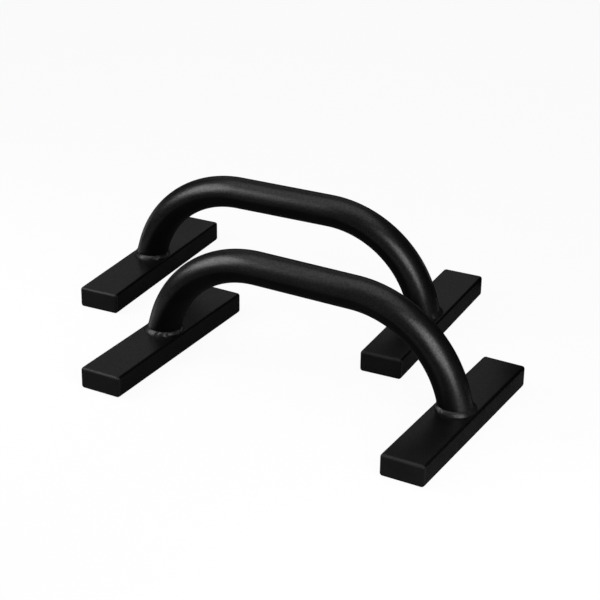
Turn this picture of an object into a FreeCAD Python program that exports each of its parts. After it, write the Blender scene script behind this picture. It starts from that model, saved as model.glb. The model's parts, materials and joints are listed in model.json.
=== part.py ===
# A pair of low steel parallette bars, set down side by side as a gymnast would find them.
# Each bar is one round tube bent into a flat arch and welded at both ends to a foot of
# rectangular tube. Moulded plugs close the ends of the feet.
# Millimetres, +Z up. X runs along the grips, Y along the feet. The origin lies on the floor
# under the middle of the pair's bounding box.

import FreeCAD
import Part

import math
import os

# Round tube of the grip: straight middle, one bend and one short straight leg each side.
# The bend's angle is in degrees.
TUBE_DIAMETER = 38.1
TUBE_WALL = 2.0
GRIP_STRAIGHT = 121.5
BEND_RADIUS = 127.0
BEND_ANGLE = 74.0
LEG_STRAIGHT = 14.5

# Rectangular tube of each foot, with the vent that lets air out of the closed arch.
FOOT_WIDTH = 50.8
FOOT_HEIGHT = 25.4
FOOT_WALL = 2.0
FOOT_OUTER_CORNER = 3.0
FOOT_INNER_CORNER = 1.0
FOOT_CUT_LENGTH = 251.0
VENT_DIAMETER = 8.0

# Fillet weld round each leg: its rise and its reach along the foot, its reach across the foot,
# where the flat leaves less room, and its crown as shares of these.
WELD_LEG = 5.0
WELD_SIDE_LEG = 2.5
WELD_CROWN = [(1.0, 0.0), (0.7, 0.5), (0.1, 1.0)]

# Moulded plug: a flange flush with the foot, and a hollow finned spigot inside it. The round
# on the flange's edge takes at most this share of its thickness and of its corners.
CAP_FLANGE = 4.0
CAP_CORNER = 3.4
CAP_EDGE = 3.0
ROUND_SHARE = 0.9
CAP_DEPTH = 16.0
CAP_WALL = 1.8
CAP_CLEARANCE = 0.5
FIN_COUNT = 3
FIN_THICKNESS = 1.2
FIN_CLEARANCE = 0.05

# Where the rear bar stands from the middle of the front bar, and its turn in degrees.
REAR_SHIFT = -133.5
REAR_SPACING = 185.1
REAR_TURN = 3.6

# Sizes that follow from the ones above.
TUBE_RADIUS = TUBE_DIAMETER / 2
LEG_SLOPE = math.radians(BEND_ANGLE)
LEG_RUN = LEG_STRAIGHT * math.cos(LEG_SLOPE)
LEG_RISE = LEG_STRAIGHT * math.sin(LEG_SLOPE)
BEND_RUN = BEND_RADIUS * math.sin(LEG_SLOPE)
BEND_RISE = BEND_RADIUS * (1 - math.cos(LEG_SLOPE))
GRIP_HEIGHT = FOOT_HEIGHT + LEG_RISE + BEND_RISE
FOOT_OFFSET = GRIP_STRAIGHT / 2 + BEND_RUN + LEG_RUN
BORE_WIDTH = FOOT_WIDTH - 2 * FOOT_WALL
BORE_HEIGHT = FOOT_HEIGHT - 2 * FOOT_WALL

UP = FreeCAD.Vector(0, 0, 1)
ALONG_FOOT = FreeCAD.Vector(0, 1, 0)
FLOOR_POINT = FreeCAD.Vector(0, 0, 0)

SIDES = {"left": -1, "right": 1}
ENDS = {"near": -1, "far": 1}


def rounded_rectangle(width, height, corner):
    """Closed wire in the XY plane, centred on the origin, with round corners."""
    edges = []
    half_width = width / 2 - corner
    half_height = height / 2 - corner
    signs = [(1, 1), (-1, 1), (-1, -1), (1, -1)]
    for quarter, (x_sign, y_sign) in enumerate(signs):
        centre = FreeCAD.Vector(x_sign * half_width, y_sign * half_height, 0)
        arc = Part.makeCircle(corner, centre, UP, 90 * quarter, 90 * (quarter + 1))
        if edges:
            edges.append(Part.makeLine(edges[-1].lastVertex().Point, arc.firstVertex().Point))
        edges.append(arc)
    edges.append(Part.makeLine(edges[-1].lastVertex().Point, edges[0].firstVertex().Point))
    return Part.Wire(edges)


def section_bar(width, height, corner, length):
    """Solid of round-cornered section, its length along Y from y = 0 and its middle at z = 0."""
    bar = Part.Face(rounded_rectangle(width, height, corner)).extrude(UP * length)
    bar.rotate(FLOOR_POINT, FreeCAD.Vector(1, 0, 0), 90)
    bar.translate(ALONG_FOOT * length)
    return bar


def level_ellipse(centre, along_x, along_y):
    """Closed elliptical wire in a level plane, given its centre and half its length each way."""
    stretch = FreeCAD.Matrix()
    stretch.scale(along_x, along_y, 1)
    stretch.move(centre)
    return Part.Wire(Part.makeCircle(1).transformGeometry(stretch).Edges)


def arch_path():
    """Centreline of the bent tube in the XZ plane, its legs run on below the top of the feet."""
    runs_on = TUBE_DIAMETER
    half = GRIP_STRAIGHT / 2
    half_bend = LEG_SLOPE / 2
    bend_middle = FreeCAD.Vector(
        half + BEND_RADIUS * math.sin(half_bend),
        0,
        GRIP_HEIGHT - BEND_RADIUS * (1 - math.cos(half_bend)),
    )
    bend_start = FreeCAD.Vector(half, 0, GRIP_HEIGHT)
    bend_end = FreeCAD.Vector(half + BEND_RUN, 0, GRIP_HEIGHT - BEND_RISE)
    leg_way = FreeCAD.Vector(math.cos(LEG_SLOPE), 0, -math.sin(LEG_SLOPE))
    leg_end = bend_end + leg_way * (LEG_STRAIGHT + runs_on)

    def mirrored(point):
        return FreeCAD.Vector(-point.x, point.y, point.z)

    edges = [
        Part.LineSegment(mirrored(leg_end), mirrored(bend_end)),
        Part.Arc(mirrored(bend_end), mirrored(bend_middle), mirrored(bend_start)),
        Part.LineSegment(mirrored(bend_start), bend_start),
        Part.Arc(bend_start, bend_middle, bend_end),
        Part.LineSegment(bend_end, leg_end),
    ]
    return Part.Wire([edge.toShape() for edge in edges])


def arch_solid(radius):
    """Round solid of one radius along the arch, its legs cut level with the top of the feet."""
    path = arch_path()
    start = path.Vertexes[0].Point
    leg_way = FreeCAD.Vector(math.cos(LEG_SLOPE), 0, math.sin(LEG_SLOPE))
    section = Part.Wire(Part.makeCircle(radius, start, leg_way))
    solid = path.makePipeShell([section], True, False)
    box = solid.BoundBox
    below = Part.makeBox(
        box.XLength,
        box.YLength,
        FOOT_HEIGHT - box.ZMin,
        FreeCAD.Vector(box.XMin, box.YMin, box.ZMin),
    )
    return solid.cut(below)


def foot_blank(side):
    """Foot tube's outer shape with its bore filled, standing on the floor under one leg."""
    blank = section_bar(FOOT_WIDTH, FOOT_HEIGHT, FOOT_OUTER_CORNER, FOOT_CUT_LENGTH)
    blank.translate(FreeCAD.Vector(side * FOOT_OFFSET, -FOOT_CUT_LENGTH / 2, FOOT_HEIGHT / 2))
    return blank


def foot_tube(side):
    """Rectangular tube of one foot, with a vent through its top wall inside the leg."""
    bore = section_bar(BORE_WIDTH, BORE_HEIGHT, FOOT_INNER_CORNER, FOOT_CUT_LENGTH)
    bore.translate(FreeCAD.Vector(side * FOOT_OFFSET, -FOOT_CUT_LENGTH / 2, FOOT_HEIGHT / 2))
    vent_start = FreeCAD.Vector(side * FOOT_OFFSET, 0, FOOT_HEIGHT / 2)
    vent = Part.makeCylinder(VENT_DIAMETER / 2, FOOT_HEIGHT / 2, vent_start, UP)
    return foot_blank(side).cut(bore).cut(vent)


def weld_bead(side, arch):
    """Ring of weld that fills the corner between one leg and the top of its foot."""
    rings = []
    for out_share, up_share in WELD_CROWN:
        rise = WELD_LEG * up_share
        lean = rise / math.tan(LEG_SLOPE)
        centre = FreeCAD.Vector(side * (FOOT_OFFSET - lean), 0, FOOT_HEIGHT + rise)
        across = TUBE_RADIUS / math.sin(LEG_SLOPE) + WELD_SIDE_LEG * out_share
        along = TUBE_RADIUS + WELD_LEG * out_share
        rings.append(level_ellipse(centre, across, along))
    crown = Part.makeLoft(rings, True, True)
    skirt = Part.Face(rings[0]).extrude(UP * -FOOT_OUTER_CORNER)
    return crown.fuse(skirt).cut(arch).cut(foot_blank(side))


def end_cap(side, end):
    """Moulded plug in one end of a foot: flange outside, hollow spigot with fins inside."""
    flange = section_bar(FOOT_WIDTH, FOOT_HEIGHT, CAP_CORNER, CAP_FLANGE)
    face_edges = [edge for edge in flange.Edges if abs(edge.BoundBox.YMax) < CAP_FLANGE / 2]
    edge_round = min(CAP_EDGE, ROUND_SHARE * CAP_CORNER, ROUND_SHARE * CAP_FLANGE)
    flange = flange.makeFillet(edge_round, face_edges)

    spigot_width = BORE_WIDTH - 2 * CAP_CLEARANCE
    spigot_height = BORE_HEIGHT - 2 * CAP_CLEARANCE
    spigot = section_bar(spigot_width, spigot_height, FOOT_INNER_CORNER, CAP_DEPTH)
    fins = []
    fin_pitch = CAP_DEPTH / FIN_COUNT
    for count in range(FIN_COUNT):
        fin = section_bar(
            BORE_WIDTH - 2 * FIN_CLEARANCE,
            BORE_HEIGHT - 2 * FIN_CLEARANCE,
            FOOT_INNER_CORNER,
            FIN_THICKNESS,
        )
        fin.translate(ALONG_FOOT * (fin_pitch * (count + 0.5) - FIN_THICKNESS / 2))
        fins.append(fin)
    hollow = section_bar(
        spigot_width - 2 * CAP_WALL,
        spigot_height - 2 * CAP_WALL,
        FOOT_INNER_CORNER,
        CAP_DEPTH,
    )
    spigot = spigot.multiFuse(fins).cut(hollow)
    spigot.translate(ALONG_FOOT * CAP_FLANGE)

    cap = flange.fuse(spigot).removeSplitter()
    cap.translate(ALONG_FOOT * -(FOOT_CUT_LENGTH / 2 + CAP_FLANGE))
    if ENDS[end] > 0:
        cap.rotate(FLOOR_POINT, UP, 180)
    cap.translate(FreeCAD.Vector(SIDES[side] * FOOT_OFFSET, 0, FOOT_HEIGHT / 2))
    return cap


def bar_pieces():
    """Every piece of one bar, by name, with the bar's middle over the origin."""
    arch = arch_solid(TUBE_RADIUS)
    pieces = {"grip_tube": arch.cut(arch_solid(TUBE_RADIUS - TUBE_WALL))}
    for side, sign in SIDES.items():
        pieces[f"{side}_foot_tube"] = foot_tube(sign)
        pieces[f"{side}_weld_bead"] = weld_bead(sign, arch)
        for end in ENDS:
            pieces[f"{side}_{end}_end_cap"] = end_cap(side, end)
    return pieces


def placed_pair():
    """Both bars' pieces by node name, with the pair's bounding box over the origin."""
    stands = {
        "front_bar": (FreeCAD.Vector(0, 0, 0), 0.0),
        "rear_bar": (FreeCAD.Vector(REAR_SHIFT, REAR_SPACING, 0), REAR_TURN),
    }
    pair = {}
    for bar, (place, turn) in stands.items():
        for name, shape in bar_pieces().items():
            shape.rotate(FLOOR_POINT, UP, turn)
            shape.translate(place)
            pair[f"{bar}_{name}"] = shape
    box = Part.makeCompound(list(pair.values())).optimalBoundingBox(False, False)
    for shape in pair.values():
        shape.translate(FreeCAD.Vector(-box.Center.x, -box.Center.y, 0))
    return pair


os.makedirs("parts", exist_ok=True)
for node, solid in placed_pair().items():
    solid.exportStep(f"parts/{node}.step")
    print(f"{node}: {len(solid.Solids)} solid, {solid.Volume / 1000:.2f} cm3, valid {solid.isValid()}")
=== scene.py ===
"""Dresses a pair of welded steel parallette bars for the camera.

Each bar is a bent round grip on two feet of rectangular tube, with a rippled weld round each leg and a
moulded plug in each end of each foot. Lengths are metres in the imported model's frame: X runs along the
grips, Y away from the front, Z up, and the floor lies at z = 0.
"""

import json
import logging
import math
from abc import ABC, abstractmethod
from dataclasses import dataclass, replace
from enum import Enum

import bmesh
import bpy
from bmesh.types import BMEdge, BMesh, BMFace, BMVert
from bpy.types import ID, Material, Node, NodeSocket, NodeTree, Object, ShaderNodeTree
from mathutils import Matrix, Quaternion, Vector, noise


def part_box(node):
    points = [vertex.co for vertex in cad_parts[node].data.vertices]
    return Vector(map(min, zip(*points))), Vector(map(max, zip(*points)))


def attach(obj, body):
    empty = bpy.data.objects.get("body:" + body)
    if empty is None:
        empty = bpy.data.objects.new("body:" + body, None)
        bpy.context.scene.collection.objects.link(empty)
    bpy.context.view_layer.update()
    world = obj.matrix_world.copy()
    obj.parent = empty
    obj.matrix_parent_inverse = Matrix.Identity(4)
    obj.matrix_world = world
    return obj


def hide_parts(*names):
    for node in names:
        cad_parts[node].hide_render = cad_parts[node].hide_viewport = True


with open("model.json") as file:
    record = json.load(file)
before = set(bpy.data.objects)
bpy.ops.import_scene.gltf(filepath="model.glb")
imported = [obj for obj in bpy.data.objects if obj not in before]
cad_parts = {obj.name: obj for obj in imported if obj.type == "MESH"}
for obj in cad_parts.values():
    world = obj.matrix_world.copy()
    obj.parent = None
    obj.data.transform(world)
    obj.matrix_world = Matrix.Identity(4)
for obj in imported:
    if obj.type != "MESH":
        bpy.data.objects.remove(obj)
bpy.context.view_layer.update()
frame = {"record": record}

LOG = logging.getLogger("parallettes")

# Vertices closer than MERGE_GAP are one, and a direction whose share along an axis is above PARALLEL
# runs along it.
MERGE_GAP = 1e-6
PARALLEL = 0.999

# What several pieces share: the tubes' wall, and how far a leg turns down from the grip.
TUBE_WALL = 0.002
BEND_ANGLE = math.radians(74)

Colour = tuple[float, float, float, float]
Point = tuple[float, float, float]
Span = tuple[float, float]
WHITE: Colour = (1.0, 1.0, 1.0, 1.0)
WHOLE: Span = (0.0, 1.0)


class Bar(Enum):
    """The two bars of the pair, by the body that carries each."""

    FRONT = "front_bar"
    REAR = "rear_bar"


class Side(Enum):
    """The two legs of a bar, with the sign of their X."""

    LEFT = -1
    RIGHT = 1


class End(Enum):
    """The two ends of a foot, with the sign of their Y."""

    NEAR = -1
    FAR = 1


class Slot(Enum):
    """The record's material slots."""

    COAT = "black_powder_coat"
    WELD = "coated_weld"
    PLUG = "black_cap_plastic"


class Sum(Enum):
    """The sums that a Math node works out."""

    PLUS = "ADD"
    MINUS = "SUBTRACT"
    TIMES = "MULTIPLY"
    OVER = "DIVIDE"


class Ramp(Enum):
    """How a value goes from one end of a range to the other."""

    STRAIGHT = "LINEAR"
    SMOOTH = "SMOOTHSTEP"


class Socket(Enum):
    """What a node group takes in or puts out."""

    POINT = "NodeSocketVector"
    NUMBER = "NodeSocketFloat"


def facing(azimuth: float, elevation: float) -> Vector:
    """Direction from the object towards a viewer or a lamp.

    Args:
        azimuth: degrees round Z, 0 at -Y and 90 at +X.
        elevation: degrees above the floor.

    Returns:
        A vector of length one.
    """
    turn = math.radians(azimuth)
    rise = math.radians(elevation)
    flat = math.cos(rise)
    return Vector((math.sin(turn) * flat, -math.cos(turn) * flat, math.sin(rise)))


def verts_of(geometry: list) -> list[BMVert]:
    """The vertices among what an operator made."""
    return [item for item in geometry if isinstance(item, BMVert)]


def faces_of(geometry: list) -> list[BMFace]:
    """The faces among what an operator made."""
    return [item for item in geometry if isinstance(item, BMFace)]


def edges_between(geometry: list, ends: list[BMVert]) -> list[BMEdge]:
    """The edges among what an operator made that have both ends in a list of vertices."""
    known = set(ends)
    return [item for item in geometry if isinstance(item, BMEdge) and known.issuperset(item.verts)]


def round_off(mesh: BMesh, edges: list[BMEdge], radius: float, segments: int) -> None:
    """Rounds some edges of a mesh.

    Args:
        mesh: the mesh to change.
        edges: the edges to round.
        radius: the round's radius.
        segments: how many faces go across the round.
    """
    bmesh.ops.bevel(
        mesh,
        geom=edges,
        offset=radius,
        offset_type="OFFSET",
        affect="EDGES",
        segments=segments,
        profile=0.5,
        material=-1,
    )
    mesh.normal_update()


def rounded_block(middle: Vector, size: Vector, corner: float, segments: int) -> BMesh:
    """Makes a block whose four edges along Y are rounded.

    Args:
        middle: the block's middle.
        size: its width, length and height.
        corner: the rounds' radius.
        segments: how many faces go across each round.

    Returns:
        The closed block.
    """
    mesh = bmesh.new()
    stretch = Matrix.Diagonal((*size, 1))
    bmesh.ops.create_cube(mesh, size=1.0, matrix=Matrix.Translation(middle) @ stretch)
    lengthways = []
    for edge in mesh.edges:
        way = (edge.verts[1].co - edge.verts[0].co).normalized()
        if abs(way.y) > PARALLEL:
            lengthways.append(edge)
    round_off(mesh, lengthways, corner, segments)
    return mesh


def put_in_scene(name: str, data: ID) -> Object:
    """Makes an object of a mesh, a lamp or a camera, and links it to the scene.

    Args:
        name: the object's name.
        data: what it shows.

    Returns:
        The object.
    """
    made = bpy.data.objects.new(name, data)
    bpy.context.scene.collection.objects.link(made)
    return made


def mesh_object(name: str, mesh: BMesh, material: Material) -> Object:
    """Puts a mesh into the scene.

    Args:
        name: the object's name.
        mesh: the mesh, which is used up.
        material: what it is made of.

    Returns:
        The object.
    """
    data = bpy.data.meshes.new(name)
    mesh.to_mesh(data)
    mesh.free()
    data.materials.append(material)
    return put_in_scene(name, data)


class NodeSheet:
    """A shader node tree, with short ways to place nodes and join them."""

    def __init__(self, tree: NodeTree) -> None:
        """Takes a node tree and empties it."""
        self.tree = tree
        tree.nodes.clear()

    def place(self, kind: str, inputs: dict | None = None, **fields: object) -> Node:
        """Adds a node.

        Args:
            kind: the node's type, without its ShaderNode prefix unless it has another.
            inputs: by name or index, a value to set or an output to link.
            fields: the node's own settings.

        Returns:
            The new node.
        """
        node = self.tree.nodes.new(kind if kind.startswith("Node") else f"ShaderNode{kind}")
        for name, value in fields.items():
            setattr(node, name, value)
        for name, value in (inputs or {}).items():
            self.feed(node.inputs[name], value)
        return node

    def feed(self, socket: NodeSocket, value: object) -> None:
        """Links an output to a socket, or sets the socket to a plain value.

        Args:
            socket: the socket to feed.
            value: the output or the value.
        """
        if isinstance(value, NodeSocket):
            self.tree.links.new(value, socket)
        else:
            socket.default_value = value

    def sum(self, kind: Sum, first: object, second: object, clamp: bool = False) -> NodeSocket:
        """Places a Math node.

        Args:
            kind: the sum to work out.
            first: the first value or output.
            second: the second value or output.
            clamp: whether the result stays within 0 and 1.

        Returns:
            The node's output.
        """
        node = self.place("Math", {0: first, 1: second}, operation=kind.value, use_clamp=clamp)
        return node.outputs[0]

    def product(self, first: object, *others: object) -> NodeSocket:
        """Multiplies values or outputs from left to right.

        Args:
            first: the first factor.
            others: the factors after it, at least one.

        Returns:
            The product.
        """
        result = first
        for factor in others:
            result = self.sum(Sum.TIMES, result, factor)
        return result

    def spread(
        self,
        value: NodeSocket,
        source: tuple,
        target: Span,
        ramp: Ramp = Ramp.STRAIGHT,
    ) -> NodeSocket:
        """Maps a value from one range to another, clamped.

        Args:
            value: the output to map.
            source: the two ends of the range that counts, as values or outputs.
            target: what its ends become.
            ramp: how the value goes from one end to the other.

        Returns:
            The mapped output.
        """
        ends = {"From Min": source[0], "From Max": source[1], "To Min": target[0], "To Max": target[1]}
        node = self.place("MapRange", {"Value": value, **ends}, interpolation_type=ramp.value)
        return node.outputs["Result"]

    def tint(self, share: NodeSocket, low: object, high: object) -> NodeSocket:
        """Mixes two colours.

        Args:
            share: how much of the second colour shows.
            low: the first colour, or an output.
            high: the second colour, or an output.

        Returns:
            The mixed colour.
        """
        node = self.place("Mix", data_type="RGBA")
        sockets = [socket for socket in node.inputs if socket.enabled]
        for socket, value in zip(sockets, (share, low, high), strict=True):
            self.feed(socket, value)
        return next(socket for socket in node.outputs if socket.enabled)

    def group(self, tree: ShaderNodeTree, inputs: dict) -> NodeSocket:
        """Places a node group that has one output.

        Args:
            tree: the group.
            inputs: by name, a value to set or an output to link.

        Returns:
            The group's output.
        """
        return self.place("Group", inputs, node_tree=tree).outputs[0]

    def surface(self, shader: Node, output: str = "OutputMaterial") -> None:
        """Ends the tree with an output node that shows a shader."""
        self.place(output, {"Surface": shader.outputs[0]})


def bare_material(name: str) -> tuple[Material, NodeSheet]:
    """Starts a material.

    Args:
        name: the material's name.

    Returns:
        The material and its empty sheet.
    """
    material = bpy.data.materials.new(name)
    material.use_nodes = True
    return material, NodeSheet(material.node_tree)


@dataclass(frozen=True)
class Speckle:
    """Layered noise: how many finer layers it has, and how strong each is beside the coarser one."""

    layers: float
    strength: float

    def lay(self, sheet: NodeSheet, position: NodeSocket, often: NodeSocket) -> NodeSocket:
        """Places the noise.

        Args:
            sheet: the nodes to add to.
            position: where on the surface it is.
            often: how many of its coarsest specks go to a metre.

        Returns:
            The noise, from 0 to 1.
        """
        recipe = {"Detail": self.layers, "Roughness": self.strength}
        return sheet.place("TexNoise", {"Vector": position, "Scale": often, **recipe}).outputs["Fac"]


class Effects:
    """Node groups that more than one finish uses, each built once."""

    PATTERN = {"Position": Socket.POINT, "Size": Socket.NUMBER}
    PEBBLE_BLUR = 0.6
    PEBBLE_HEIGHT = 0.5
    PEBBLE_SKIN = Speckle(layers=3.0, strength=0.6)
    CLOUDS = Speckle(layers=4.0, strength=0.55)
    CLOUD_SPAN: Span = (0.3, 0.7)
    SPECKS = Speckle(layers=5.0, strength=0.7)
    SPECK_SPAN: Span = (0.35, 0.75)
    SPECK_SHARES: Span = (0.3, 1.0)
    LYING_SPAN: Span = (0.35, 1.0)

    def __init__(self) -> None:
        """Builds every group."""
        self.grain = self._grain()
        self.cloud = self._cloud()
        # skin holds the painted underside shade: a gloss share taken off what looks down.
        self.skin = self._underside_shade()
        self.dust = self._dust()

    @staticmethod
    def _sheet(name: str, inputs: dict[str, Socket], output: str) -> tuple[NodeSheet, Node, Node]:
        """Starts a node group that puts out one number.

        Args:
            name: the group's name.
            inputs: its inputs by name, and what each takes in.
            output: the name of its output.

        Returns:
            The group's sheet, its input node and its output node.
        """
        tree = bpy.data.node_groups.new(name, "ShaderNodeTree")
        for label, kind in inputs.items():
            tree.interface.new_socket(name=label, in_out="INPUT", socket_type=kind.value)
        tree.interface.new_socket(name=output, in_out="OUTPUT", socket_type=Socket.NUMBER.value)
        sheet = NodeSheet(tree)
        return sheet, sheet.place("NodeGroupInput"), sheet.place("NodeGroupOutput")

    @staticmethod
    def _upward(sheet: NodeSheet) -> NodeSocket:
        """How far the surface looks up, from -1 to 1."""
        normal = sheet.place("NewGeometry").outputs["Normal"]
        return sheet.place("SeparateXYZ", {"Vector": normal}).outputs["Z"]

    def _grain(self) -> ShaderNodeTree:
        """Fine pebbled skin: small round bumps with a finer roughness on them.

        Returns:
            The group, which puts out the height.
        """
        sheet, given, result = self._sheet("pebble_grain", self.PATTERN, "Height")
        position = given.outputs["Position"]
        often = sheet.sum(Sum.OVER, 1.0, given.outputs["Size"])
        pebbles = sheet.place(
            "TexVoronoi",
            {"Vector": position, "Scale": often, "Smoothness": self.PEBBLE_BLUR},
            feature="SMOOTH_F1",
        )
        domes = sheet.sum(Sum.MINUS, 1.0, pebbles.outputs["Distance"])
        fine = self.PEBBLE_SKIN.lay(sheet, position, often)
        height = sheet.sum(Sum.PLUS, sheet.product(domes, self.PEBBLE_HEIGHT), fine)
        sheet.feed(result.inputs["Height"], height)
        return sheet.tree

    def _cloud(self) -> ShaderNodeTree:
        """Slow change of a film's thickness over the surface.

        Returns:
            The group, which puts out a share from 0 to 1.
        """
        sheet, given, result = self._sheet("film_cloud", self.PATTERN, "Share")
        often = sheet.sum(Sum.OVER, 1.0, given.outputs["Size"])
        drift = self.CLOUDS.lay(sheet, given.outputs["Position"], often)
        sheet.feed(result.inputs["Share"], sheet.spread(drift, self.CLOUD_SPAN, WHOLE))
        return sheet.tree

    def _underside_shade(self) -> ShaderNodeTree:
        """Painted shade: a gloss share that is whole on what looks up and gone underneath, so undersides
        show darker.

        Returns:
            The group, which puts out a share from 0 to 1.
        """
        limits = ("Bare Below", "Full Above")
        sheet, given, result = self._sheet("settled_skin", dict.fromkeys(limits, Socket.NUMBER), "Share")
        source = tuple(given.outputs[limit] for limit in limits)
        share = sheet.spread(self._upward(sheet), source, WHOLE, Ramp.SMOOTH)
        sheet.feed(result.inputs["Share"], share)
        return sheet.tree

    def _dust(self) -> ShaderNodeTree:
        """Thin specks that settle on what looks up.

        Returns:
            The group, which puts out a share from 0 to 1.
        """
        inputs = {**self.PATTERN, "Amount": Socket.NUMBER}
        sheet, given, result = self._sheet("settled_dust", inputs, "Share")
        often = sheet.sum(Sum.OVER, 1.0, given.outputs["Size"])
        lying = sheet.spread(self._upward(sheet), self.LYING_SPAN, WHOLE)
        specks = self.SPECKS.lay(sheet, given.outputs["Position"], often)
        patchy = sheet.spread(specks, self.SPECK_SPAN, self.SPECK_SHARES)
        sheet.feed(result.inputs["Share"], sheet.product(lying, patchy, given.outputs["Amount"]))
        return sheet.tree


@dataclass(frozen=True)
class BlackFinish:
    """A matte black film: near-black tones, a weak broad sheen, a clear skin, a grain and a trace of dust.

    With the film's clouds the tone goes from deep to thin, the sheen's roughness through rough and the
    skin's weight through skin. The skin is the gloss. It is gone where the upward share of the normal is
    below bare_below and whole above full_above, a painted shade that takes the gloss off what looks down,
    and pit is what is left of it between the grain's domes. At a low angle the domes hide it: over the
    span of glance, which counts from 0 face on to 1 at the rim, it goes down to rim.
    """

    name: str
    slot: Slot
    deep: Colour
    thin: Colour
    rough: Span
    shine: float
    skin: Span
    skin_rough: float
    grain_size: float
    grain_depth: float
    cloud_size: float
    dust_amount: float
    bare_below: float
    full_above: float
    pit: float = 0.5
    pit_span: Span = (0.55, 0.95)
    glance: Span = (0.60, 0.86)
    rim: float = 0.03
    dust_tone: Colour = (0.09, 0.088, 0.085, 1.0)
    dust_size: float = 0.011

    def _gloss(
        self,
        sheet: NodeSheet,
        film: NodeSocket,
        cloud: NodeSocket,
        grain: NodeSocket,
    ) -> NodeSocket:
        """The weight of the clear skin.

        Args:
            sheet: the nodes to add to.
            film: the share of the skin left by how far the surface looks up, a painted shade that takes
                the gloss off undersides.
            cloud: the film's clouds.
            grain: the height of the grain.

        Returns:
            The weight, from 0 to 1.
        """
        uneven = sheet.spread(cloud, WHOLE, self.skin)
        pitted = sheet.spread(grain, self.pit_span, (self.pit, 1.0))
        low_angle = sheet.place("LayerWeight").outputs["Facing"]
        hidden = sheet.spread(low_angle, self.glance, (1.0, self.rim))
        return sheet.product(film, uneven, pitted, hidden)

    def material(self, effects: Effects) -> Material:
        """Builds the finish as a material.

        Args:
            effects: the shared node groups.

        Returns:
            The material.
        """
        material, sheet = bare_material(self.name)
        position = sheet.place("TexCoord").outputs["Object"]
        specks = {"Position": position, "Size": self.dust_size, "Amount": self.dust_amount}
        underside_shade_limits = {"Bare Below": self.bare_below, "Full Above": self.full_above}
        cloud = sheet.group(effects.cloud, {"Position": position, "Size": self.cloud_size})
        grain = sheet.group(effects.grain, {"Position": position, "Size": self.grain_size})
        dust = sheet.group(effects.dust, specks)
        # Painted shade: film takes the gloss off what looks down, so undersides show darker.
        film = sheet.group(effects.skin, underside_shade_limits)
        coat = sheet.tint(cloud, self.deep, self.thin)
        bump = sheet.place("Bump", {"Height": grain, "Distance": self.grain_depth, "Strength": 1.0})
        shader = sheet.place(
            "BsdfPrincipled",
            {
                "Base Color": sheet.tint(dust, coat, self.dust_tone),
                "Roughness": sheet.spread(cloud, WHOLE, self.rough),
                "Normal": bump.outputs["Normal"],
                "Specular IOR Level": self.shine,
                "Coat Weight": self._gloss(sheet, film, cloud, grain),
                "Coat Roughness": self.skin_rough,
            },
        )
        sheet.surface(shader)
        return material


GRIP_COAT = BlackFinish(
    name="grip_powder_coat",
    slot=Slot.COAT,
    deep=(0.0018, 0.0018, 0.0020, 1.0),
    thin=(0.0031, 0.0031, 0.0033, 1.0),
    rough=(0.50, 0.62),
    shine=0.0052,
    skin=(0.92, 1.0),
    skin_rough=0.34,
    grain_size=0.0016,
    grain_depth=0.00006,
    cloud_size=0.045,
    dust_amount=0.008,
    bare_below=-0.1,
    full_above=0.3,
)
FOOT_COAT = replace(
    GRIP_COAT,
    name="foot_powder_coat",
    deep=(0.0010, 0.0010, 0.0011, 1.0),
    thin=(0.0018, 0.0018, 0.0019, 1.0),
    shine=0.018,
    skin_rough=0.29,
    dust_amount=0.012,
    pit=0.68,
    # Painted shade: the feet keep their gloss only on their tops, so their sides show darker.
    bare_below=0.6,
    full_above=0.95,
)
WELD_COAT = BlackFinish(
    name="weld_powder_coat",
    slot=Slot.WELD,
    deep=(0.0030, 0.0030, 0.0032, 1.0),
    thin=(0.0060, 0.0060, 0.0063, 1.0),
    rough=(0.40, 0.55),
    shine=0.01,
    skin=(0.80, 0.90),
    skin_rough=0.40,
    grain_size=0.0008,
    grain_depth=0.00002,
    cloud_size=0.006,
    dust_amount=0.02,
    bare_below=-0.05,
    full_above=0.35,
)
PLUG_PLASTIC = BlackFinish(
    name="plug_plastic",
    slot=Slot.PLUG,
    deep=(0.0030, 0.0030, 0.0032, 1.0),
    thin=(0.0045, 0.0045, 0.0047, 1.0),
    rough=(0.45, 0.55),
    shine=0.02,
    skin=(0.70, 0.80),
    skin_rough=0.55,
    grain_size=0.0006,
    grain_depth=0.00002,
    cloud_size=0.02,
    dust_amount=0.02,
    bare_below=-0.14,
    full_above=0.52,
)


@dataclass(frozen=True)
class Wardrobe:
    """The finished materials, by finish."""

    materials: dict[BlackFinish, Material]

    @classmethod
    def filled(cls) -> "Wardrobe":
        """Builds each finish once.

        Returns:
            The full wardrobe.
        """
        effects = Effects()
        finishes = (GRIP_COAT, FOOT_COAT, WELD_COAT, PLUG_PLASTIC)
        return cls({finish: finish.material(effects) for finish in finishes})


@dataclass(frozen=True)
class BarPlace:
    """Where one bar stands: its middle on the floor and its turn round Z."""

    bar: Bar
    middle: Vector
    turn: float

    @classmethod
    def from_record(cls, bar: Bar) -> "BarPlace":
        """Reads a bar's place from the undersides of its two feet.

        Args:
            bar: the bar to place.

        Returns:
            Its place.
        """
        mounts = {mount["name"]: Vector(mount["pos_m"]) for mount in frame["record"]["mounts"]}
        left = mounts[f"{bar.value}_left_foot_underside"]
        right = mounts[f"{bar.value}_right_foot_underside"]
        along = right - left
        return cls(bar, (left + right) / 2, math.atan2(along.y, along.x))

    def matrix(self) -> Matrix:
        """The move from a bar at the origin to this place."""
        return Matrix.Translation(self.middle) @ Matrix.Rotation(self.turn, 4, "Z")


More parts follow.
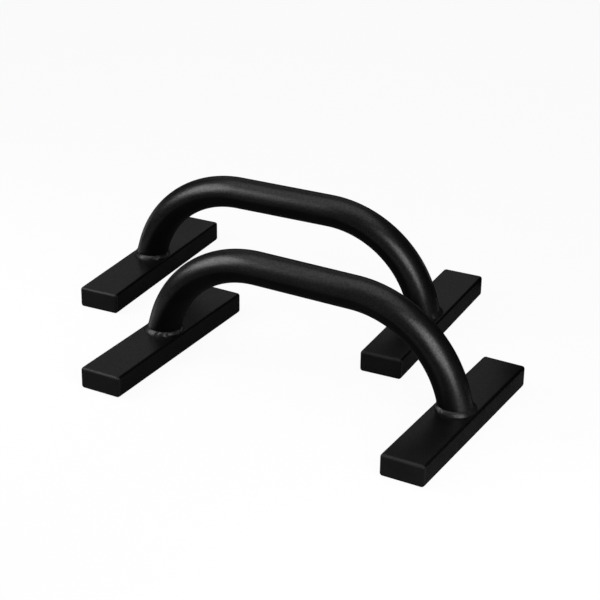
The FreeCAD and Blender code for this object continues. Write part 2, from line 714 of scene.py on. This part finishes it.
@dataclass(frozen=True)
class BarSizes:
    """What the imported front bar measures, which stands square to the frame. Both bars are alike."""

    tube_radius: float
    axis_height: float
    foot_width: float
    foot_height: float
    foot_length: float
    foot_offset: float
    weld_rise: float
    plug_flange: float
    plug_depth: float

    @classmethod
    def measured(cls) -> "BarSizes":
        """Measures the boxes of the front bar's nodes.

        Returns:
            The sizes.
        """
        grip_low, grip_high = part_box("front_bar_grip_tube")
        left_low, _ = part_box("front_bar_left_foot_tube")
        foot_low, foot_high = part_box("front_bar_right_foot_tube")
        plug_low, plug_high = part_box("front_bar_right_near_end_cap")
        _, weld_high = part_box("front_bar_right_weld_bead")
        radius = (grip_high.y - grip_low.y) / 2
        return cls(
            tube_radius=radius,
            axis_height=grip_high.z - radius,
            foot_width=foot_high.x - foot_low.x,
            foot_height=foot_high.z - foot_low.z,
            foot_length=foot_high.y - foot_low.y,
            foot_offset=(foot_low.x - left_low.x) / 2,
            weld_rise=weld_high.z - foot_high.z,
            plug_flange=foot_low.y - plug_low.y,
            plug_depth=plug_high.y - foot_low.y,
        )


@dataclass(frozen=True)
class Piece:
    """One finished mesh: its name, its finish and the node it stands for.

    A wall is thickened inwards from the mesh, and edges that turn by more than crease stay sharp.
    """

    name: str
    finish: BlackFinish
    node: str
    wall: float = 0.0
    crease: float = math.radians(35)

    def show(self, mesh: BMesh, place: BarPlace, wardrobe: Wardrobe) -> Object:
        """Turns a mesh of a bar at the origin into a dressed object that rides on its bar.

        Args:
            mesh: the mesh, which is used up.
            place: where the bar stands.
            wardrobe: the finished materials.

        Returns:
            The object.
        """
        bmesh.ops.transform(mesh, matrix=place.matrix(), verts=mesh.verts)
        shown = mesh_object(self.name, mesh, wardrobe.materials[self.finish])
        shown.data.shade_smooth()
        shown.data.set_sharp_from_angle(angle=self.crease)
        if self.wall:
            inside = shown.modifiers.new("wall", "SOLIDIFY")
            inside.thickness = self.wall
            inside.offset = -1.0
        flats = shown.modifiers.new("flat_faces_stay_flat", "WEIGHTED_NORMAL")
        flats.keep_sharp = True
        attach(shown, place.bar.value)
        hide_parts(self.node)
        LOG.info("%s: %d faces for %s", self.name, len(shown.data.polygons), self.node)
        return shown


class BarPart(ABC):
    """One part of a bar, modelled on a bar that stands square at the origin."""

    @abstractmethod
    def mesh(self) -> BMesh:
        """Builds the part's mesh, with its faces outwards."""

    @abstractmethod
    def piece(self, bar: Bar) -> Piece:
        """Says what the part is on one of the bars."""

    def dress(self, place: BarPlace, wardrobe: Wardrobe) -> Object:
        """Shows the part on its bar.

        Args:
            place: where the bar stands.
            wardrobe: the finished materials.

        Returns:
            The part's object.
        """
        return self.piece(place.bar).show(self.mesh(), place, wardrobe)


@dataclass(frozen=True)
class GripTube(BarPart):
    """The bent round tube of one bar: a straight middle, two bends and two short legs."""

    sizes: BarSizes
    wall: float = TUBE_WALL
    bend_radius: float = 0.127
    bend_angle: float = BEND_ANGLE
    sides: int = 96
    bend_steps: int = 48
    straight_steps: int = 8
    leg_steps: int = 4

    @property
    def leg_length(self) -> float:
        """Straight stretch of the axis between the bend and the top of the foot."""
        bend_drop = self.bend_radius * (1 - math.cos(self.bend_angle))
        drop = self.sizes.axis_height - self.sizes.foot_height - bend_drop
        return drop / math.sin(self.bend_angle)

    @property
    def half_straight(self) -> float:
        """Half of the straight middle."""
        bend_run = self.bend_radius * math.sin(self.bend_angle)
        return self.sizes.foot_offset - bend_run - self.leg_length * math.cos(self.bend_angle)

    @staticmethod
    def _run(mesh: BMesh, ring: list[BMEdge], way: Vector, steps: int) -> list[BMEdge]:
        """Draws a ring out in a straight line.

        Args:
            mesh: the mesh to change.
            ring: the edges of the open end.
            way: the whole stretch, as a vector.
            steps: how many bands it has.

        Returns:
            The edges of the new open end.
        """
        for _ in range(steps):
            made = bmesh.ops.extrude_edge_only(mesh, edges=ring)["geom"]
            ends = verts_of(made)
            bmesh.ops.translate(mesh, verts=ends, vec=way / steps)
            ring = edges_between(made, ends)
        return ring

    def _bend(self, mesh: BMesh, ring: list[BMEdge]) -> list[BMEdge]:
        """Draws a ring round the bend.

        Args:
            mesh: the mesh to change.
            ring: the edges of the open end.

        Returns:
            The edges of the new open end.
        """
        verts = list(dict.fromkeys(vert for edge in ring for vert in edge.verts))
        made = bmesh.ops.spin(
            mesh,
            geom=verts + ring,
            cent=(self.half_straight, 0, self.sizes.axis_height - self.bend_radius),
            axis=(0, 1, 0),
            angle=self.bend_angle,
            steps=self.bend_steps,
        )["geom_last"]
        return edges_between(made, verts_of(made))

    def mesh(self) -> BMesh:
        """Builds one half from the middle outwards, cuts it level on the foot and mirrors it.

        Returns:
            The tube's outer skin, open at both ends, with its faces outwards.
        """
        mesh = bmesh.new()
        upright = Matrix.Rotation(math.pi / 2, 4, "Y")
        bmesh.ops.create_circle(
            mesh,
            segments=self.sides,
            radius=self.sizes.tube_radius,
            matrix=Matrix.Translation((0, 0, self.sizes.axis_height)) @ upright,
        )
        straight_way = Vector((self.half_straight, 0, 0))
        ring = self._run(mesh, mesh.edges[:], straight_way, self.straight_steps)
        ring = self._bend(mesh, ring)
        leg_way = Vector((math.cos(self.bend_angle), 0, -math.sin(self.bend_angle)))
        self._run(mesh, ring, leg_way * (self.leg_length + self.sizes.tube_radius), self.leg_steps)
        bmesh.ops.bisect_plane(
            mesh,
            geom=mesh.verts[:] + mesh.edges[:] + mesh.faces[:],
            plane_co=(0, 0, self.sizes.foot_height),
            plane_no=(0, 0, 1),
            clear_inner=True,
        )
        half = mesh.verts[:] + mesh.edges[:] + mesh.faces[:]
        bmesh.ops.mirror(mesh, geom=half, merge_dist=MERGE_GAP, axis="X")
        bmesh.ops.remove_doubles(mesh, verts=mesh.verts, dist=MERGE_GAP)
        # Lids close the tube while its faces are turned outwards.
        lids = bmesh.ops.holes_fill(mesh, edges=mesh.edges)["faces"]
        bmesh.ops.recalc_face_normals(mesh, faces=mesh.faces)
        bmesh.ops.delete(mesh, geom=lids, context="FACES_ONLY")
        return mesh

    def piece(self, bar: Bar) -> Piece:
        """Says what the tube is on one of the bars."""
        stem = bar.value
        return Piece(f"{stem}_bent_grip", GRIP_COAT, f"{stem}_grip_tube", wall=self.wall)


@dataclass(frozen=True)
class FootTube(BarPart):
    """The length of rectangular tube under one leg."""

    sizes: BarSizes
    side: Side
    wall: float = TUBE_WALL
    corner: float = 0.003
    corner_segments: int = 8

    def mesh(self) -> BMesh:
        """Builds the tube's outer skin, open at both ends.

        Returns:
            The mesh, with its faces outwards.
        """
        sizes = self.sizes
        middle = Vector((self.side.value * sizes.foot_offset, 0, sizes.foot_height / 2))
        size = Vector((sizes.foot_width, sizes.foot_length, sizes.foot_height))
        mesh = rounded_block(middle, size, self.corner, self.corner_segments)
        cut_ends = [face for face in mesh.faces if abs(face.normal.y) > PARALLEL]
        bmesh.ops.delete(mesh, geom=cut_ends, context="FACES_ONLY")
        return mesh

    def piece(self, bar: Bar) -> Piece:
        """Says what the foot is on one of the bars."""
        stem = f"{bar.value}_{self.side.name.lower()}"
        return Piece(f"{stem}_coated_foot", FOOT_COAT, f"{stem}_foot_tube", wall=self.wall)


@dataclass(frozen=True)
class WeldHand:
    """How one weld was laid: the angles of its creases in degrees, their depth, and its own chance."""

    creases: tuple[float, ...]
    depth: float
    seed: float

    def crease_at(self, turn: float, width: float) -> float:
        """How deep in a crease one place lies.

        Args:
            turn: angle round the leg, in radians.
            width: half the width of a crease, in degrees.

        Returns:
            The depth, up to the hand's own.
        """
        degrees = math.degrees(turn)
        nearest = min(abs((degrees - crease + 180) % 360 - 180) for crease in self.creases)
        return self.depth * math.exp(-((nearest / width) ** 2))


WELD_HANDS = {
    (Bar.FRONT, Side.LEFT): WeldHand((-168, -77, -51, -8, 45, 100, 150), depth=0.0007, seed=1.0),
    (Bar.FRONT, Side.RIGHT): WeldHand((-160, -114, -21, 35, 95, 140), depth=0.0004, seed=2.0),
    (Bar.REAR, Side.LEFT): WeldHand((-165, -43, 10, 60, 120), depth=0.0006, seed=3.0),
    (Bar.REAR, Side.RIGHT): WeldHand((-150, -95, -38, -5, 50, 110), depth=0.0005, seed=4.0),
}


@dataclass(frozen=True)
class WeldBead(BarPart):
    """The weld round one leg: a bulging fillet in a few long lumps, with creases between them.

    In its section, reach, height and inner are shares of the weld's rise, out from the leg's skin and up
    from the foot's top. The face is an arc, bulge to each side of its middle, and goes on below the foot's
    top by sunk. Across the foot, where the leg nearly fills it, the reach is less by the share snug.
    """

    sizes: BarSizes
    side: Side
    hand: WeldHand
    lean: float = BEND_ANGLE
    reach: float = 0.80
    height: float = 1.0
    bulge: float = math.radians(22)
    sunk: float = math.radians(2)
    inner: float = -0.3
    snug: float = 0.25
    arc_steps: int = 16
    crease_width: float = 6.0
    wander: float = 0.0006
    wander_scale: float = 2.2
    wander_start: Span = (4.0, 2.0)
    bow: float = math.radians(3)
    steps: int = 384

    def _face(self) -> tuple[Vector, float, float]:
        """The arc of the bead's face in its section.

        Returns:
            Its middle, its size, and the angle at which its own middle looks out.
        """
        looks = math.atan2(self.reach, self.height)
        size = math.hypot(self.reach, self.height) / (2 * math.sin(self.bulge))
        inwards = Vector((math.cos(looks), math.sin(looks))) * size * math.cos(self.bulge)
        return Vector((self.reach, self.height)) / 2 - inwards, size, looks

    def _section(self) -> list[Vector]:
        """Outline of the bead on the leg's skin at turn 0.

        Returns:
            The closed outline's points: the face from toe to top, then the edge inside the leg.
        """
        middle, size, looks = self._face()
        toe = looks - self.bulge - self.sunk
        face = []
        for step in range(self.arc_steps + 1):
            around = toe + (looks + self.bulge - toe) * step / self.arc_steps
            face.append((middle.x + size * math.cos(around), middle.y + size * math.sin(around)))
        shares = [*face, (self.inner, face[-1][1]), (self.inner, face[0][1])]
        skin = Vector((self.sizes.tube_radius, 0, 0))
        return [skin + Vector((x, 0, z)) * self.sizes.weld_rise for x, z in shares]

    def _stand_at(self, turn: float, share: float) -> float:
        """How far the bead's face swells or sinks at one place.

        Args:
            turn: angle round the leg.
            share: place on the face, from -1 at its toe to 1 at its top.

        Returns:
            The distance out of the face.
        """
        across = max(1 - share * share, 0.0)
        spot = Vector((math.cos(turn), math.sin(turn), 0)) * self.wander_scale
        drift = noise.noise(spot + Vector((*self.wander_start, self.hand.seed)))
        dip = self.hand.crease_at(turn + self.bow * across, self.crease_width)
        return math.sqrt(across) * (self.wander * drift - dip)

    def _laid(self, point: Vector) -> Vector:
        """Where a point of the even ring goes when the bead gets its lumps.

        Args:
            point: the point, with the leg round Z and the foot's top at z = 0.

        Returns:
            Its new place.
        """
        middle, _, looks = self._face()
        turn = math.atan2(point.y, point.x)
        out = point.xy.length - self.sizes.tube_radius
        from_middle = Vector((out, point.z)) - middle * self.sizes.weld_rise
        around = math.atan2(from_middle.y, from_middle.x)
        stand = self._stand_at(turn, (around - looks) / self.bulge)
        drawn_in = 1 - self.snug * math.cos(turn) ** 2 if out > 0 else 1.0
        flat = self.sizes.tube_radius + out * drawn_in + stand * math.cos(around)
        height = point.z + stand * math.sin(around)
        return Vector((math.cos(turn) * flat, math.sin(turn) * flat, height))

    def mesh(self) -> BMesh:
        """Spins the bead's section round the leg, then shapes its lumps and leans it with the leg.

        Returns:
            The closed ring of weld.
        """
        mesh = bmesh.new()
        verts = [mesh.verts.new(point) for point in self._section()]
        edges = [mesh.edges.new(pair) for pair in zip(verts, verts[1:] + verts[:1])]
        bmesh.ops.spin(
            mesh,
            geom=verts + edges,
            cent=(0, 0, 0),
            axis=(0, 0, 1),
            angle=2 * math.pi,
            steps=self.steps,
            use_merge=True,
        )
        bmesh.ops.remove_doubles(mesh, verts=mesh.verts, dist=MERGE_GAP)
        bmesh.ops.recalc_face_normals(mesh, faces=mesh.faces)
        for vert in mesh.verts:
            vert.co = self._laid(vert.co)
        stretch = Matrix.Diagonal((1 / math.sin(self.lean), 1, 1, 1))
        shear = Matrix.Identity(4)
        shear[0][2] = -self.side.value / math.tan(self.lean)
        foot_top = (self.side.value * self.sizes.foot_offset, 0, self.sizes.foot_height)
        to_foot = Matrix.Translation(foot_top)
        bmesh.ops.transform(mesh, matrix=to_foot @ shear @ stretch, verts=mesh.verts)
        return mesh

    def piece(self, bar: Bar) -> Piece:
        """Says what the weld is on one of the bars."""
        stem = f"{bar.value}_{self.side.name.lower()}"
        return Piece(f"{stem}_rippled_weld", WELD_COAT, f"{stem}_weld_bead", crease=math.pi)


@dataclass(frozen=True)
class EndPlug(BarPart):
    """The moulded plug in one end of a foot: a flange outside, a hollow finned spigot inside."""

    sizes: BarSizes
    side: Side
    end: End
    corner: float = 0.0034
    edge: float = 0.003
    round_segments: int = 8
    clearance: float = 0.0005
    foot_wall: float = TUBE_WALL
    spigot_wall: float = 0.0018
    fin_count: int = 3
    fin_thickness: float = 0.0012
    fin_clearance: float = 0.00005

    def _inset_size(self, gap: float) -> Span:
        """Width and height of the foot's outside, drawn in by a gap all round."""
        return self.sizes.foot_width - 2 * gap, self.sizes.foot_height - 2 * gap

    def _steps(self) -> list[tuple[Span, float]]:
        """Sections of the spigot from the flange to its mouth and back down its hollow.

        Returns:
            For each section its width and height, and its depth behind the flange.
        """
        spigot = self._inset_size(self.foot_wall + self.clearance)
        fin = self._inset_size(self.foot_wall + self.fin_clearance)
        hollow = self._inset_size(self.foot_wall + self.clearance + self.spigot_wall)
        depth = self.sizes.plug_depth
        steps = [(spigot, 0.0)]
        for count in range(self.fin_count):
            start = depth * (count + 0.5) / self.fin_count - self.fin_thickness / 2
            stop = start + self.fin_thickness
            steps += [(spigot, start), (fin, start), (fin, stop), (spigot, stop)]
        return steps + [(spigot, depth), (hollow, depth), (hollow, 0.0)]

    def _draw_spigot(self, mesh: BMesh) -> None:
        """Draws the flange's back out into the spigot, step by step.

        Args:
            mesh: the flange, which is changed.
        """
        back = max(mesh.faces, key=lambda item: item.calc_center_median().y)
        size, depth = self._inset_size(0.0), 0.0
        for next_size, next_depth in self._steps():
            made = bmesh.ops.extrude_face_region(mesh, geom=[back])["geom"]
            bmesh.ops.delete(mesh, geom=[back], context="FACES_ONLY")
            ends = verts_of(made)
            back = faces_of(made)[0]
            factor = Vector((next_size[0] / size[0], 1.0, next_size[1] / size[1]))
            bmesh.ops.scale(mesh, vec=factor, verts=ends)
            bmesh.ops.translate(mesh, vec=(0, next_depth - depth, 0), verts=ends)
            size, depth = next_size, next_depth

    def mesh(self) -> BMesh:
        """Builds the plug for the near end of a foot in the middle, and puts it in its place.

        Returns:
            The closed plug.
        """
        flange = self.sizes.plug_flange
        size = Vector((self.sizes.foot_width, flange, self.sizes.foot_height))
        mesh = rounded_block(Vector((0, -flange / 2, 0)), size, self.corner, self.round_segments)
        face = min(mesh.faces, key=lambda item: item.normal.y)
        round_off(mesh, face.edges[:], self.edge, self.round_segments)
        self._draw_spigot(mesh)
        bmesh.ops.recalc_face_normals(mesh, faces=mesh.faces)
        turn = Matrix.Rotation(0.0 if self.end is End.NEAR else math.pi, 4, "Z")
        to_end = Matrix.Translation((0, -self.sizes.foot_length / 2, self.sizes.foot_height / 2))
        to_foot = Matrix.Translation((self.side.value * self.sizes.foot_offset, 0, 0))
        bmesh.ops.transform(mesh, matrix=to_foot @ turn @ to_end, verts=mesh.verts)
        return mesh

    def piece(self, bar: Bar) -> Piece:
        """Says what the plug is on one of the bars."""
        stem = f"{bar.value}_{self.side.name.lower()}_{self.end.name.lower()}"
        return Piece(f"{stem}_moulded_plug", PLUG_PLASTIC, f"{stem}_end_cap")


@dataclass(frozen=True)
class ParalletteBar:
    """One whole bar."""

    sizes: BarSizes
    place: BarPlace

    def parts(self) -> list[BarPart]:
        """Lists the bar's parts.

        Returns:
            The grip, then each foot with its weld and its plugs.
        """
        parts: list[BarPart] = [GripTube(self.sizes)]
        for side in Side:
            parts.append(FootTube(self.sizes, side))
            parts.append(WeldBead(self.sizes, side, WELD_HANDS[self.place.bar, side]))
            parts += [EndPlug(self.sizes, side, end) for end in End]
        return parts

    def dress(self, wardrobe: Wardrobe) -> list[Object]:
        """Builds and shows every part of the bar."""
        return [part.dress(self.place, wardrobe) for part in self.parts()]


@dataclass(frozen=True)
class Softbox:
    """One large soft lamp, aimed at a point. Its share is of the light that shows white as white."""

    name: str
    azimuth: float
    elevation: float
    distance: float
    width: float
    height: float
    share: float
    target: Point = (0.0, 0.0, 0.06)

    def hang(self) -> None:
        """Puts the lamp in its place."""
        lamp = bpy.data.lights.new(self.name, "AREA")
        lamp.shape = "RECTANGLE"
        lamp.size = self.width
        lamp.size_y = self.height
        lamp.energy = self.share * (math.pi * self.distance) ** 2
        hung = put_in_scene(self.name, lamp)
        towards = facing(self.azimuth, self.elevation)
        hung.location = Vector(self.target) + towards * self.distance
        hung.rotation_euler = towards.to_track_quat("Z", "Y").to_euler()


@dataclass(frozen=True)
class Flag:
    """A curved wall of black cloth beside the object, which keeps stray light out of its gloss.

    It stands on part of a circle on the floor, and shows in reflections only.
    """

    name: str
    centre: Point
    start: float
    sweep: float
    radius: float
    height: float
    steps: int = 64
    tone: Colour = (0.004, 0.004, 0.004, 1.0)

    def _cloth(self) -> Material:
        """Dull black cloth.

        Returns:
            The material.
        """
        material, sheet = bare_material(f"{self.name}_cloth")
        sheet.surface(sheet.place("BsdfDiffuse", {"Color": self.tone, "Roughness": 1.0}))
        return material

    def stand(self) -> None:
        """Draws an upright edge round part of a circle, as a wall."""
        mesh = bmesh.new()
        foot = Vector(self.centre) + facing(self.start, 0.0) * self.radius
        ends = [mesh.verts.new(foot + Vector((0, 0, level))) for level in (0.0, self.height)]
        edge = mesh.edges.new(ends)
        bmesh.ops.spin(
            mesh,
            geom=[*ends, edge],
            cent=self.centre,
            axis=(0, 0, 1),
            angle=math.radians(self.sweep),
            steps=self.steps,
        )
        wall = mesh_object(self.name, mesh, self._cloth())
        wall.visible_camera = False
        wall.visible_diffuse = False
        wall.visible_shadow = False


@dataclass(frozen=True)
class Studio:
    """The pale floor, the soft lamps, the dark flags and the dim room round them."""

    lamps: tuple[Softbox, ...]
    flags: tuple[Flag, ...]
    room_level: float = 0.01
    room_mirrored: float = 0.01
    floor_radius: float = 14.0
    floor_sides: int = 96
    floor_drop: float = 0.0003
    floor_tone: Colour = (0.82, 0.82, 0.82, 1.0)
    floor_white: float = 0.94
    floor_mirrored: float = 0.3

    @staticmethod
    def _seen(sheet: NodeSheet, mirrored: float) -> NodeSocket:
        """How far a ray meets plain white: fully for the eye or through glass, in part in a reflection.

        Args:
            sheet: the nodes to add to.
            mirrored: the share in a reflection.

        Returns:
            The share, from 0 to 1.
        """
        path = sheet.place("LightPath").outputs
        plain = sheet.sum(Sum.PLUS, path["Is Camera Ray"], path["Is Transmission Ray"], clamp=True)
        return sheet.sum(Sum.PLUS, plain, sheet.product(path["Is Glossy Ray"], mirrored), clamp=True)

    def _floor_material(self) -> Material:
        """Pale floor that shows as near-white to the eye and keeps the shadow.

        Returns:
            The material.
        """
        material, sheet = bare_material("pale_floor")
        share = sheet.product(self._seen(sheet, self.floor_mirrored), self.floor_white)
        matte = sheet.place("BsdfDiffuse", {"Color": self.floor_tone})
        white = sheet.place("Emission", {"Color": WHITE, "Strength": 1.0})
        sheet.surface(sheet.place("MixShader", {0: share, 1: matte.outputs[0], 2: white.outputs[0]}))
        return material

    def _lay_floor(self) -> None:
        """Lays the floor just under the feet."""
        mesh = bmesh.new()
        bmesh.ops.create_circle(
            mesh,
            cap_ends=True,
            segments=self.floor_sides,
            radius=self.floor_radius,
            matrix=Matrix.Translation((0, 0, -self.floor_drop)),
        )
        floor = mesh_object("studio_floor", mesh, self._floor_material())

    def _fill_room(self) -> None:
        """Makes the room white to the eye and dim to all else."""
        world = bpy.data.worlds.new("studio_room")
        world.use_nodes = True
        sheet = NodeSheet(world.node_tree)
        level = sheet.spread(self._seen(sheet, self.room_mirrored), WHOLE, (self.room_level, 1.0))
        sheet.surface(sheet.place("Background", {"Color": WHITE, "Strength": level}), "OutputWorld")
        bpy.context.scene.world = world

    def build(self) -> None:
        """Lays the floor, hangs the lamps, stands the flags and fills the room with dim light."""
        self._lay_floor()
        for lamp in self.lamps:
            lamp.hang()
        for flag in self.flags:
            flag.stand()
        self._fill_room()
        bpy.context.scene.view_settings.view_transform = "Standard"


@dataclass(frozen=True)
class PhotoCamera:
    """The camera at the photograph's viewing angle. Angles are degrees, lens and sensor millimetres."""

    aim: Point = (0.0167, -0.0138, 0.060)
    azimuth: float = 29.251
    elevation: float = 25.238
    roll: float = 0.766
    distance: float = 2.070
    lens: float = 107.23
    sensor: float = 36.0

    def set_up(self) -> None:
        """Makes the scene's camera."""
        view = bpy.data.cameras.new("photo_camera")
        view.lens = self.lens
        view.sensor_width = self.sensor
        camera = put_in_scene("photo_camera", view)
        towards = facing(self.azimuth, self.elevation)
        camera.location = Vector(self.aim) + towards * self.distance
        level = towards.to_track_quat("Z", "Y")
        camera.rotation_mode = "QUATERNION"
        camera.rotation_quaternion = level @ Quaternion((0, 0, 1), math.radians(self.roll))
        bpy.context.scene.camera = camera


LAMPS = (
    Softbox(
        name="left_key",
        azimuth=-60.0,
        elevation=31.0,
        distance=0.80,
        width=0.54,
        height=0.54,
        share=0.88,
        target=(-0.05, -0.06, 0.10),
    ),
    Softbox(
        name="right_key",
        azimuth=46.0,
        elevation=24.0,
        distance=0.80,
        width=0.56,
        height=0.70,
        share=1.13,
        target=(0.20, -0.05, 0.08),
    ),
    Softbox(
        name="overhead",
        azimuth=-60.0,
        elevation=84.0,
        distance=2.2,
        width=2.3,
        height=2.3,
        share=0.44,
    ),
    Softbox(
        name="back_fill",
        azimuth=-150.0,
        elevation=32.0,
        distance=2.4,
        width=2.2,
        height=1.6,
        share=0.037,
    ),
)
FLAGS = (
    Flag("low_flag", centre=(0.0, 0.0, 0.0), start=-100.0, sweep=160.0, radius=0.40, height=0.10),
    Flag("tall_flag", centre=(-0.1, -0.1, 0.0), start=98.0, sweep=42.0, radius=0.43, height=0.50),
    Flag("side_flag", centre=(0.92, 0.77, 0.0), start=-36.0, sweep=8.0, radius=1.0, height=0.50),
    Flag("back_flag", centre=(-0.1, -0.1, 0.0), start=140.0, sweep=50.0, radius=0.43, height=0.045),
)


def main() -> None:
    """Sets up the camera and the studio, and dresses both bars."""
    logging.basicConfig(level=logging.INFO, format="%(name)s %(message)s")
    PhotoCamera().set_up()
    Studio(LAMPS, FLAGS).build()
    wardrobe = Wardrobe.filled()
    sizes = BarSizes.measured()
    for bar in Bar:
        shown = ParalletteBar(sizes, BarPlace.from_record(bar)).dress(wardrobe)
        LOG.info("%s: %d pieces", bar.value, len(shown))


if __name__ == "__main__":
    main()
